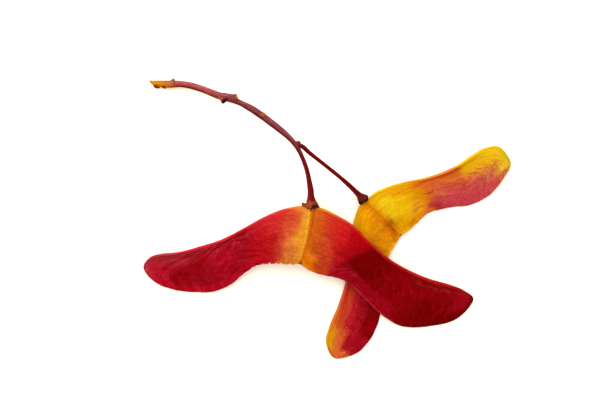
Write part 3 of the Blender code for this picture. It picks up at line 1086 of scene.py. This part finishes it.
def skin(name, ground, washes, seed, grain, bundle_edge):
    """A material for a half from its ground, a list of (place, pigment), its washes, how much the
    fine grain shows and how far across the strands beside the rib reach."""
    made, shader, start = new_material(name)
    along, across, _ = parts(start, start.node("ShaderNodeUVMap", {"uv_map": "leaf"}))
    flow, run, vein, net, stroke, under = (
        field(start, key) for key in ("flow", "run", "vein", "net", "stroke", "under")
    )
    ways = {"along": along, "run": run}
    cloud, fleck, freckle, dash = (
        clouds(spot(start, ways[way] * often, across * wide, seed + SPECKLE_SEEDS[key]), 1.0, detail)
        for key, (way, often, wide, detail) in SPECKLES.items()
    )
    thread = laid(start, (along, across, run), bundle_edge, 80, 2.6, seed + 6, 3.0)
    line = laid(start, (along, across, run), bundle_edge, 56, 2.0, seed + 7, 1.0)
    bent = 0.08 * cloud + 0.08 * thread + 0.05 * dash
    places = {
        "along": along + bent,
        "across": across + 0.14 * cloud + 0.1 * thread + 0.16 * dash,
        "flow": flow + bent,
        "from_seam": along,
        "from_rib": across,
    }
    textures = {
        "plain": 1.0,
        "strokes": soft(thread + 0.1 * stroke, -0.08, 0.12),
        "threads": 1 - soft(line.math("ABSOLUTE", line, 0), 0.0, 0.035),
        "dashes": soft(dash + 0.1 * stroke, 0.0, 0.14),
        "flecks": soft(fleck, 0.02, 0.14),
        "freckles": soft(freckle, 0.02, 0.12),
        "wrinkles": net,
    }
    slanted = across.math("POWER", across, 1.5)
    stops = [(place, pigment(key)) for place, key in ground]
    colour = start.node("ShaderNodeValToRGB", {"stops": stops}, {0: places["along"]})
    for layer in washes:
        share = layer["amount"] * textures[layer["texture"]]
        for key, stretch in layer["stretches"].items():
            slant = layer["slant"] * slanted if key in ("along", "from_seam") else 0
            share = share * band(places[key] + slant, *stretch)
        colour = blend_in(colour, (*pigment(layer["pigment"]), 1), share)
        # Painted light: a lift brightens a wash beyond its pigment, against the shade that falls there.
        colour = brighten(colour, 1 + layer["lift"] * share) if layer["lift"] else colour
    tone = grain * (0.08 * stroke + 0.7 * thread + 0.45 * dash + 0.5 * fleck + 0.5 * freckle)
    colour = brighten(deepen(colour, -0.5 * tone), 1 + 0.5 * tone)
    colour = blend_in(colour, (*pigment("straw"), 1), 0.14 * under)
    rough = 0.5 + 0.3 * freckle + 0.1 * vein
    height = fleck + 0.6 * freckle + 0.1 * stroke
    finish_material(shader, start, colour, rough, height, SKIN_BUMP)
    shader.inputs["Specular IOR Level"].default_value = SKIN_GLOSS
    return made


def paint(name, ground, washes, seed, grain=1.0, bundle_edge=0.16):
    """Gives a half its skin, named like its slot."""
    made = skin(HALVES[name]["slot"], ground, washes, seed, grain, bundle_edge)
    PIECES[name].data.materials.append(made)
    print(name, "is painted in", len(washes), "washes over", len(ground), "colours")


print("textures come from", ", ".join(SPECKLES), "and streaks")

# %% [markdown]
# The front left half goes from amber at the seam through orange and scarlet to a deep red wing. Its
# rib stays bright, with a paler edge that is partly a painted highlight, fine orange-brown strands run
# under the rib, and the trailing edge and the tip are pinker. A yellow strip by the seam is a painted
# highlight on its raised lip.

# %% Front left half
FRONT_LEFT_GROUND = [
    (0.0, "amber"), (0.07, "amber"), (0.11, "apricot"), (0.155, "vermilion"), (0.23, "scarlet"),
    (0.31, "blood"), (0.4, "wine"), (0.78, "wine"), (0.86, "crimson"), (1.0, "rose"),
]
FRONT_LEFT_WASHES = [
    wash("scarlet", 0.9, along=(0.15, 0.34, 0.06), across=(0.02, 0.16)),
    wash("vermilion", 0.7, along=(0.1, 0.18, 0.055), across=(0.12, 0.45, 0.12)),
    wash("apricot", 0.7, along=(0.08, 0.14, 0.04), across=(0.68, None, 0.12)),
    wash("salmon", 0.5, along=(0.1, 0.24), across=(0.1, 0.75), texture="wrinkles"),
    wash("scarlet", 0.6, along=(0.18, 0.27, 0.04), across=(0.1, 0.5, 0.12)),
    wash("blood", 0.7, along=(0.22, 0.34), across=(0.5, None, 0.12)),
    wash("rose", 0.6, along=(0.2, 0.4, 0.06), across=(0.16, 0.9, 0.08), texture="threads"),
    wash("maroon", 0.4, along=(0.38, 0.5, 0.06), across=(0.2, 0.6, 0.12), texture="strokes"),
    wash("maroon", 0.6, along=(0.58, 0.74, 0.08), across=(0.3, 0.9, 0.2), texture="strokes"),
    wash("crimson", 0.6, along=(0.46, 0.56), across=(0.2, 0.7, 0.15)),
    wash("maroon", 0.7, along=(0.42, 0.8, 0.08), from_rib=(0.05, 0.15, 0.05), texture="strokes"),
    wash("rouge", 0.6, along=(0.28, 0.84, 0.06), from_rib=(0.03, 0.28, 0.06), texture="threads"),
    wash("rose", 0.12, along=(0.34, 0.95, 0.06), across=(0.1, None), texture="strokes"),
    wash("rose", 0.35, along=(0.72, 0.95, 0.06), across=(None, 0.3, 0.15)),
    wash("brick", 0.8, along=(0.72, 0.95, 0.06), across=(0.02, 0.28, 0.08), texture="threads"),
    wash("russet", 0.6, along=(0.76, 0.95, 0.06), from_rib=(0.01, 0.18, 0.06), texture="strokes"),
    wash("crimson", 0.8, along=(0.3, 0.92, 0.06), from_rib=(0.88, None, 0.08), lift=0.1),
    # The coral and pink lines on the rib's very edge are partly its own colour, partly a painted
    # highlight.
    wash("coral", 0.85, along=(0.14, 0.3), from_rib=(None, 0.02)),
    wash("ruby", 0.85, along=(0.3, 0.7, 0.06), from_rib=(None, 0.03, 0.025), lift=0.12),
    wash("pink", 0.6, along=(0.25, 0.34), from_rib=(None, 0.025)),
    wash("pink", 0.7, along=(0.76, None, 0.06), from_rib=(None, 0.03, 0.04)),
    wash("rouge", 0.5, along=(0.95, None)),
    wash("tangerine", 0.4, along=(None, 0.06, 0.04), across=(0.45, 0.72)),
    wash("orange", 0.6, along=(None, 0.15, 0.04), from_rib=(0.94, None)),
    wash("umber", 0.7, along=(0.03, 0.17, 0.03), from_rib=(0.955, None, 0.02), texture="flecks"),
    wash("maroon", 0.9, along=(0.17, 0.3, 0.03), from_rib=(0.94, None), texture="flecks"),
    wash("apricot", 0.8, along=(0.02, 0.14), from_rib=(None, 0.02)),
    # Painted highlight: a yellow strip on the raised lip beside the seam.
    wash("yellow", 0.4, from_seam=(None, 0.015, 0.015), across=(0.06, 0.5)),
    wash("orange", 0.5, from_seam=(None, 0.004), across=(0.3, None)),
    # Painted shade where the cup sits on the top of the seam.
    wash("rust", 0.9, from_seam=(None, 0.004), from_rib=(None, 0.06, 0.04)),
    # Painted shade: a dark umber spot in the notch at the foot of the seam.
    wash("umber", 0.85, from_seam=(None, 0.012, 0.01), from_rib=(0.96, None, 0.02)),
]
paint("front_left_half", FRONT_LEFT_GROUND, FRONT_LEFT_WASHES, seed=3)

# %% [markdown]
# The front right half is darker. A slanting border, where the nutlet ends, parts the scarlet
# nutlet from a maroon wing, with painted shade on the slope just past it, and pale veins fan out at
# its lower corner. By the seam its skin sinks and turns a brownish orange, and the valley there is
# painted darker as shade.

# %% Front right half
FRONT_RIGHT_GROUND = [
    (0.0, "pumpkin"), (0.03, "pumpkin"), (0.06, "rust"), (0.1, "rust"), (0.15, "cinnabar"),
    (0.19, "cinnabar"), (0.25, "scarlet"), (0.3, "blood"), (0.4, "blood"), (0.5, "wine"), (1.0, "wine"),
]
FRONT_RIGHT_WASHES = [
    wash("pumpkin", 0.5, along=(0.06, 0.14), across=(0.06, 0.4, 0.15)),
    # Painted shade: a rust band and a thin umber line fill the valley beside the seam.
    wash("rust", 0.75, from_seam=(0.024, 0.034, 0.014), slant=0.03, across=(0.15, None, 0.2)),
    wash("umber", 0.5, from_seam=(0.029, 0.031, 0.007), slant=0.03, across=(0.3, 0.8, 0.2)),
    wash("orange", 0.9, from_seam=(None, 0.014, 0.012), across=(0.04, None, 0.06)),
    wash("salmon", 0.5, along=(0.08, 0.2), across=(0.08, 0.9), texture="wrinkles"),
    wash("orange", 0.8, along=(0.03, 0.08), from_rib=(0.82, None, 0.15), lift=0.1),
    wash("blood", 0.7, along=(0.24, 0.36, 0.06), across=(0.2, None, 0.2)),
    wash("scarlet", 0.6, along=(0.15, 0.26, 0.06), across=(0.03, 0.35, 0.15)),
    wash("maroon", 0.97, from_seam=(0.445, None, 0.05), slant=0.219),
    # Painted shade: a deeper oxblood band on the slope just past the slanting border.
    wash("oxblood", 0.65, from_seam=(0.445, 0.54, 0.05), slant=0.219, across=(0.1, 0.75, 0.15)),
    wash("wine", 0.3, along=(0.6, 0.9, 0.08), across=(0.1, 0.6, 0.2)),
    wash("crimson", 0.5, along=(0.26, 0.6, 0.06), across=(0.78, None, 0.12)),
    wash("blood", 0.3, along=(0.5, 0.95, 0.06), across=(0.08, 0.9), texture="threads"),
    wash("oxblood", 0.3, along=(0.4, 0.95, 0.06), across=(0.1, 0.9), texture="strokes"),
    wash("rose", 0.4, along=(0.2, 0.42), from_rib=(0.7, 0.99, 0.08), texture="threads"),
    wash("oxblood", 0.55, along=(0.72, 0.92, 0.08), across=(0.5, None, 0.2)),
    wash("crimson", 0.45, along=(0.87, 0.95, 0.04), across=(0.1, 0.6, 0.2)),
    wash("brick", 0.5, along=(0.68, 0.92, 0.06), across=(0.03, 0.16, 0.06), texture="threads"),
    wash("oxblood", 0.8, along=(0.955, None, 0.02), across=(None, 0.6, 0.2)),
    wash("honey", 0.85, along=(0.02, 0.2, 0.06), from_rib=(None, 0.018, 0.025)),
    wash("vermilion", 0.8, along=(0.2, 0.33, 0.04), from_rib=(None, 0.02)),
    wash("scarlet", 0.7, along=(0.33, 0.85, 0.06), from_rib=(None, 0.02, 0.05)),
    wash("pink", 0.35, along=(0.3, 0.62, 0.04), from_rib=(0.985, None, 0.012)),
    # Painted shade where the cup sits on the top of the seam.
    wash("sepia", 0.8, from_seam=(None, 0.006, 0.01), from_rib=(None, 0.05, 0.04)),
    # Painted shade: a dark umber spot in the notch at the foot of the seam.
    wash("umber", 0.85, from_seam=(None, 0.012, 0.01), from_rib=(0.96, None, 0.02)),
]
paint("front_right_half", FRONT_RIGHT_GROUND, FRONT_RIGHT_WASHES, seed=7)

# %% [markdown]
# The back right half is the yellow one. Its wing blushes from the trailing edge, in dashes that
# follow the veins, and the leading edge and the tip stay yellow.

# %% Back right half
BACK_RIGHT_GROUND = [
    (0.0, "honey"), (0.05, "yellow"), (0.2, "yellow"), (0.28, "honey"), (0.35, "orange"),
    (0.42, "flame"), (0.5, "flame"), (0.58, "orange"), (0.66, "honey"), (0.76, "yellow"),
    (0.85, "lemon"), (1.0, "lemon"),
]
BACK_RIGHT_WASHES = [
    wash("orange", 0.6, along=(0.18, 0.32, 0.06), across=(0.03, 0.22)),
    wash("orange", 0.4, from_seam=(None, 0.004, 0.03)),
    # Painted shade: rust in the groove along the lower seam, and umber in the dimple by the notch.
    wash("rust", 0.65, from_seam=(None, 0.02, 0.05), across=(0.62, 0.82, 0.12)),
    wash("umber", 0.8, from_seam=(None, 0.01, 0.03), from_rib=(0.7, 0.79, 0.07)),
    # A brighter lemon patch on the nutlet's bulge: its own yellow, lightened as a painted highlight.
    wash("lemon", 0.5, along=(0.07, 0.14), across=(0.15, 0.5, 0.15)),
    wash("saffron", 0.75, along=(0.02, 0.3), across=(None, 0.12, 0.12)),
    wash("tangerine", 0.5, along=(0.02, 0.3, 0.06), across=(0.74, None, 0.15)),
    wash("honey", 0.7, along=(0.25, 0.33, 0.04), across=(0.24, 0.6)),
    wash("yellow", 0.6, along=(0.15, 0.27), across=(0.4, 0.75), lift=0.1),
    wash("salmon", 0.75, along=(0.54, 1.05, 0.1), slant=0.24, across=(0.4, None, 0.14),
         flow=(None, 0.45, 0.12)),
    wash("rouge", 0.85, along=(0.58, 1.05, 0.1), slant=0.24, across=(0.6, None, 0.14),
         flow=(None, 0.5, 0.1)),
    wash("flame", 0.6, along=(0.38, None, 0.07), slant=0.2, across=(0.1, 0.8), flow=(None, 0.54, 0.07),
         texture="dashes"),
    wash("crimson", 0.6, along=(0.38, 0.8, 0.08), across=(0.35, None, 0.15), flow=(None, 0.54, 0.06),
         texture="dashes"),
    wash("amber", 0.3, along=(0.4, 0.85, 0.06), across=(0.15, 0.8, 0.12), flow=(None, 0.52, 0.06),
         texture="freckles"),
    wash("vermilion", 0.5, along=(0.45, 0.85, 0.06), across=(0.12, 0.45), flow=(0.4, 0.58, 0.06),
         texture="dashes"),
    wash("flame", 0.5, along=(0.4, 0.62), across=(0.1, 0.24, 0.06)),
    wash("cinnabar", 0.45, from_seam=(0.42, 0.44, 0.02), slant=1.07, across=(0.1, 0.2, 0.08)),
    wash("cinnabar", 0.6, along=(0.41, 0.58), from_rib=(0.07, 0.13, 0.025)),
    wash("cinnabar", 0.5, along=(0.5, 0.78), across=(0.04, 0.3, 0.05), texture="threads"),
    wash("crimson", 0.5, along=(0.35, 0.43, 0.04), across=(0.82, None, 0.12)),
    wash("rouge", 0.8, along=(0.5, 0.92, 0.08), from_rib=(0.82, None, 0.12)),
    wash("rose", 0.5, along=(0.4, 0.9), across=(0.3, None), flow=(None, 0.54), texture="threads"),
    wash("rose", 0.35, along=(0.52, 0.86, 0.06), across=(0.52, None, 0.12), lift=0.25),
    wash("crimson", 0.55, along=(0.42, 0.8, 0.08), across=(0.35, None), flow=(None, 0.56),
         texture="flecks"),
    wash("blush", 0.35, along=(0.46, 0.88), across=(0.35, None), flow=(None, 0.52), texture="freckles"),
    wash("pink", 0.5, along=(0.42, 0.88), across=(0.55, None), flow=(None, 0.52), texture="freckles"),
    wash("apricot", 0.75, along=(0.4, 0.84), across=(0.14, 0.6, 0.08), flow=(None, 0.54),
         texture="threads"),
    wash("pumpkin", 0.45, along=(0.5, 0.76, 0.06), across=(0.1, 0.5), flow=(0.45, 0.6),
         texture="threads"),
    wash("yellow", 0.55, along=(0.64, 0.88), across=(0.03, 0.28), lift=0.1),
    wash("orange", 0.7, along=(0.3, 0.55), from_rib=(0.01, 0.05, 0.02), lift=0.1),
    wash("apricot", 0.8, along=(0.43, 0.6), from_rib=(None, 0.035), lift=0.15),
    # Thin lemon lines on the rib's edge: its own yellow with a painted highlight over it.
    wash("lemon", 0.75, along=(0.08, 0.24, 0.06), from_rib=(None, 0.015, 0.035), lift=0.2),
    wash("lemon", 0.8, along=(0.6, None, 0.04), from_rib=(None, 0.03, 0.02), lift=0.15),
    wash("orange", 0.7, along=(0.14, 0.34, 0.06), from_rib=(0.93, None, 0.08)),
    wash("tangerine", 0.7, along=(0.2, 0.42, 0.04), from_rib=(None, 0.02), lift=0.15),
    # Painted shade: a dark sepia spot in the notch at the foot of the seam.
    wash("sepia", 0.7, from_seam=(None, 0.006), from_rib=(0.975, None, 0.015)),
]
paint("back_right_half", BACK_RIGHT_GROUND, BACK_RIGHT_WASHES, seed=12, grain=0.75, bundle_edge=0.2)

# %% [markdown]
# The back left half is orange on its nutlet. Its wing is amber along the leading edge, and the red
# comes in streaks that run lengthwise and deepens to dark red at the trailing edge.

# %% Back left half
BACK_LEFT_GROUND = [
    (0.0, "marigold"), (0.05, "marigold"), (0.12, "honey"), (0.2, "honey"), (0.27, "orange"),
    (0.36, "pumpkin"), (0.5, "scarlet"), (0.62, "vermilion"), (0.74, "flame"), (0.86, "orange"),
    (1.0, "apricot"),
]
BACK_LEFT_WASHES = [
    # Painted shade: rust in the groove along the lower seam, and umber in the dimple by the notch.
    wash("rust", 0.6, from_seam=(None, 0.02, 0.04), across=(0.6, 0.82, 0.12)),
    wash("umber", 0.7, from_seam=(None, 0.012, 0.02), from_rib=(0.7, 0.79, 0.07)),
    wash("vermilion", 0.5, along=(0.3, 0.35, 0.03), slant=0.3, across=(0.35, 0.85), texture="strokes"),
    wash("yellow", 0.6, along=(0.08, 0.24), from_rib=(None, 0.03, 0.05)),
    # Lifted as painted light, against the shade that the front right half throws here.
    wash("tangerine", 0.6, along=(0.1, 0.3), across=(0.72, None), lift=0.2),
    wash("tangerine", 0.5, along=(0.08, 0.24), across=(0.3, 0.5, 0.12)),
    wash("pumpkin", 0.35, along=(0.03, 0.3), across=(0.5, 0.72)),
    wash("orange", 0.6, along=(0.2, 0.3, 0.04), across=(0.35, None, 0.15), texture="strokes", lift=0.2),
    wash("yellow", 0.5, along=(0.82, 0.97), across=(0.02, 0.24)),
    wash("scarlet", 0.75, along=(0.3, None, 0.06), across=(0.12, None, 0.12), flow=(None, 0.57, 0.06)),
    wash("crimson", 0.85, along=(0.3, None, 0.06), across=(0.34, None, 0.12), flow=(None, 0.6)),
    wash("wine", 0.8, along=(0.3, None, 0.06), across=(0.5, None, 0.12), flow=(None, 0.62)),
    wash("maroon", 0.85, along=(0.3, None, 0.06), across=(0.6, None, 0.15), flow=(None, 0.66)),
    wash("blood", 0.6, along=(0.36, 0.5), across=(0.03, 0.4)),
    wash("flame", 0.5, along=(0.56, 0.86), across=(0.16, 0.42), texture="freckles"),
    wash("wine", 0.5, along=(0.6, 0.84), across=(0.1, 0.5), texture="dashes"),
    wash("blood", 0.6, along=(0.42, 0.62), across=(0.06, 0.4, 0.08), texture="strokes"),
    wash("flame", 0.7, along=(0.46, 0.66), across=(0.06, 0.34, 0.06), texture="threads"),
    wash("rouge", 0.55, along=(0.56, 0.86), across=(0.24, 0.6), texture="freckles"),
    wash("crimson", 0.5, along=(0.62, 0.9), across=(0.36, 0.62)),
    wash("crimson", 0.5, along=(0.84, 0.94, 0.04), across=(0.55, None, 0.12)),
    wash("flame", 0.6, along=(0.83, None), across=(0.25, 0.4, 0.12)),
    wash("flame", 0.8, along=(0.94, None, 0.025), lift=0.1),
    wash("vermilion", 0.55, along=(0.5, 0.9, 0.06), across=(0.05, 0.32, 0.08), texture="threads"),
    wash("vermilion", 0.5, along=(0.64, 0.95), across=(0.02, 0.4, 0.06), flow=(0.58, None, 0.04),
         texture="threads"),
    wash("maroon", 0.6, along=(0.5, 0.68), across=(0.03, 0.14, 0.05), texture="threads"),
    wash("coral", 0.8, along=(0.45, 0.62), from_rib=(None, 0.04), lift=0.15),
    wash("salmon", 0.7, along=(0.64, 0.72, 0.04), from_rib=(None, 0.04), lift=0.1),
    wash("apricot", 0.7, along=(0.72, 0.8, 0.04), from_rib=(None, 0.04)),
    # Painted shade: a dark sepia spot in the notch at the foot of the seam.
    wash("sepia", 0.7, from_seam=(None, 0.006), from_rib=(0.975, None, 0.015)),
]
paint("back_left_half", BACK_LEFT_GROUND, BACK_LEFT_WASHES, seed=19, grain=0.95, bundle_edge=0.36)

# %% [markdown]
# The stalk was cut, so its end is raw amber wood. Behind that the bark is a pinkish red, which
# darkens to a maroon with a greyish bloom, and past the fork the thin stalks are a deep red. The side
# away from the lamp is painted darker, as shade. The bloom leans to the lit side and is partly a
# painted sheen, and the pale blush streaks are partly painted glints. Scars are tan with dark
# hollows, and the cups are brown.

# %% Paint the stalk
STALK_LENGTH = 62.0
BARK_GLOSS = 0.015
BARK_BUMP = 0.12 * MM
STALK_GROUND = [
    (0.0, "honey"), (4.2, "orange"), (6.4, "brick_pink"), (15.0, "brick_pink"), (21.0, "plum"),
    (36.0, "plum"), (42.0, "garnet"), (56.0, "garnet"),
]


def bark_skin():
    """The ramp along the stalk, painted darker as shade on the side away from the lamp, with layers
    over it: a greyish coat that is partly a painted sheen on the lit side, blush that is partly
    painted glints, the painted shade of the dark sides, rust on the cut end, brown cups and the spots."""
    made, shader, start = new_material("stalk_bark")
    way, bark, cup, branch = (field(start, key) for key in ("way", "bark", "cup", "branch"))
    grain = field(start, "grain", 1)
    side, _, _ = parts(start, grain)
    cloud = clouds(grain, 3.0, 3.0)
    fibre = clouds(grain, 7.0, 4.0, 0.75)
    stops = [(place / STALK_LENGTH, pigment(key)) for place, key in STALK_GROUND]
    ramp_place = (way + 2 * cloud - 1.6 * side) * (1 / STALK_LENGTH)
    colour = start.node("ShaderNodeValToRGB", {"stops": stops}, {0: ramp_place})
    layers = [
        # Greyish bloom on the lit side: partly the bark's own, partly a painted sheen.
        ("bloom", 0.5 * band(way, 14, 40, 4) * soft(bark + 3 * fibre - side, 0.1, 1.3)),
        # Pale blush streaks: partly the bark's grain, partly painted glints.
        ("blush", 0.55 * band(way, 7, 30, 4) * soft(fibre, 0.05, 0.16)),
        ("maroon", 0.7 * soft(way, 6, 9) * soft(fibre, -0.04, -0.14)),
        # Painted shade: the side of the stalk away from the lamp is darker, along each stretch.
        ("oxblood", 0.85 * soft(side + 0.6 * cloud, 0.0, 0.9) * band(way, 7, 43, 3)),
        ("oxblood", 0.85 * soft(0.5 * cloud - side, -0.1, 0.8) * soft(way, 44, 48)),
        ("oxblood", 0.8 * branch),
        ("crimson", 0.5 * soft(way, 42, 48) * soft(fibre, 0.0, 0.15)),
        ("rust", 0.7 * band(way, None, 5, 1) * soft(fibre + 0.1 * side, 0.03, 0.12)),
        ("sienna", (0.75 - 0.525 * branch) * soft(cup + cloud - 0.3 * fibre + 0.3 * side, 0.3, 0.7)),
        ("copper", 0.6 * soft(cup, 0.2, 0.6) * soft(fibre + cloud, 0.08, 0.25)),
    ]
    ragged = fibre + 0.8 * cloud
    layers += [(key, 0.92 * soft(field(start, key) + ragged, 0.26, 0.68)) for key in BARK_SPOTS]
    for key, share in layers:
        colour = blend_in(colour, (*pigment(key), 1), share)
    tone = 1.3 * fibre + 0.25 * bark
    colour = brighten(deepen(colour, -0.3 * tone), 1 + 0.6 * tone)
    finish_material(shader, start, colour, 0.48 + 0.3 * fibre, fibre + 0.5 * cloud, BARK_BUMP)
    shader.inputs["Specular IOR Level"].default_value = BARK_GLOSS
    return made


PIECES["forked_stalk"].data.materials.append(bark_skin())
print("the stalk is painted over", len(STALK_GROUND), "colours, with", len(BARK_SPOTS), "for spots")

# %% [markdown]
# The table gets the plainest finish of all. It is a dull, warm paper colour, which the light washes
# out to white, so that only the shadow still shows its warmth.

# %% Paint the table
WARM_PAPER = (0.9, 0.83, 0.69)
table_paint, table_shader, _ = new_material("white_table")
table_shader.inputs["Base Color"].default_value = (*WARM_PAPER, 1)
table_shader.inputs["Roughness"].default_value = 0.9
table_shader.inputs["Specular IOR Level"].default_value = 0.0
table_mesh.materials.append(table_paint)
print("the table's paint is", table_paint.name)

# %% [markdown]
# Last, each piece is tied to the body that it belongs to, and the plain solid that it stands for is
# hidden.

# %% Tie the pieces to the model
for name, habit in HALVES.items():
    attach(PIECES[name], "root")
    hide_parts(habit["node"])
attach(PIECES["forked_stalk"], "root")
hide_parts("stalk")
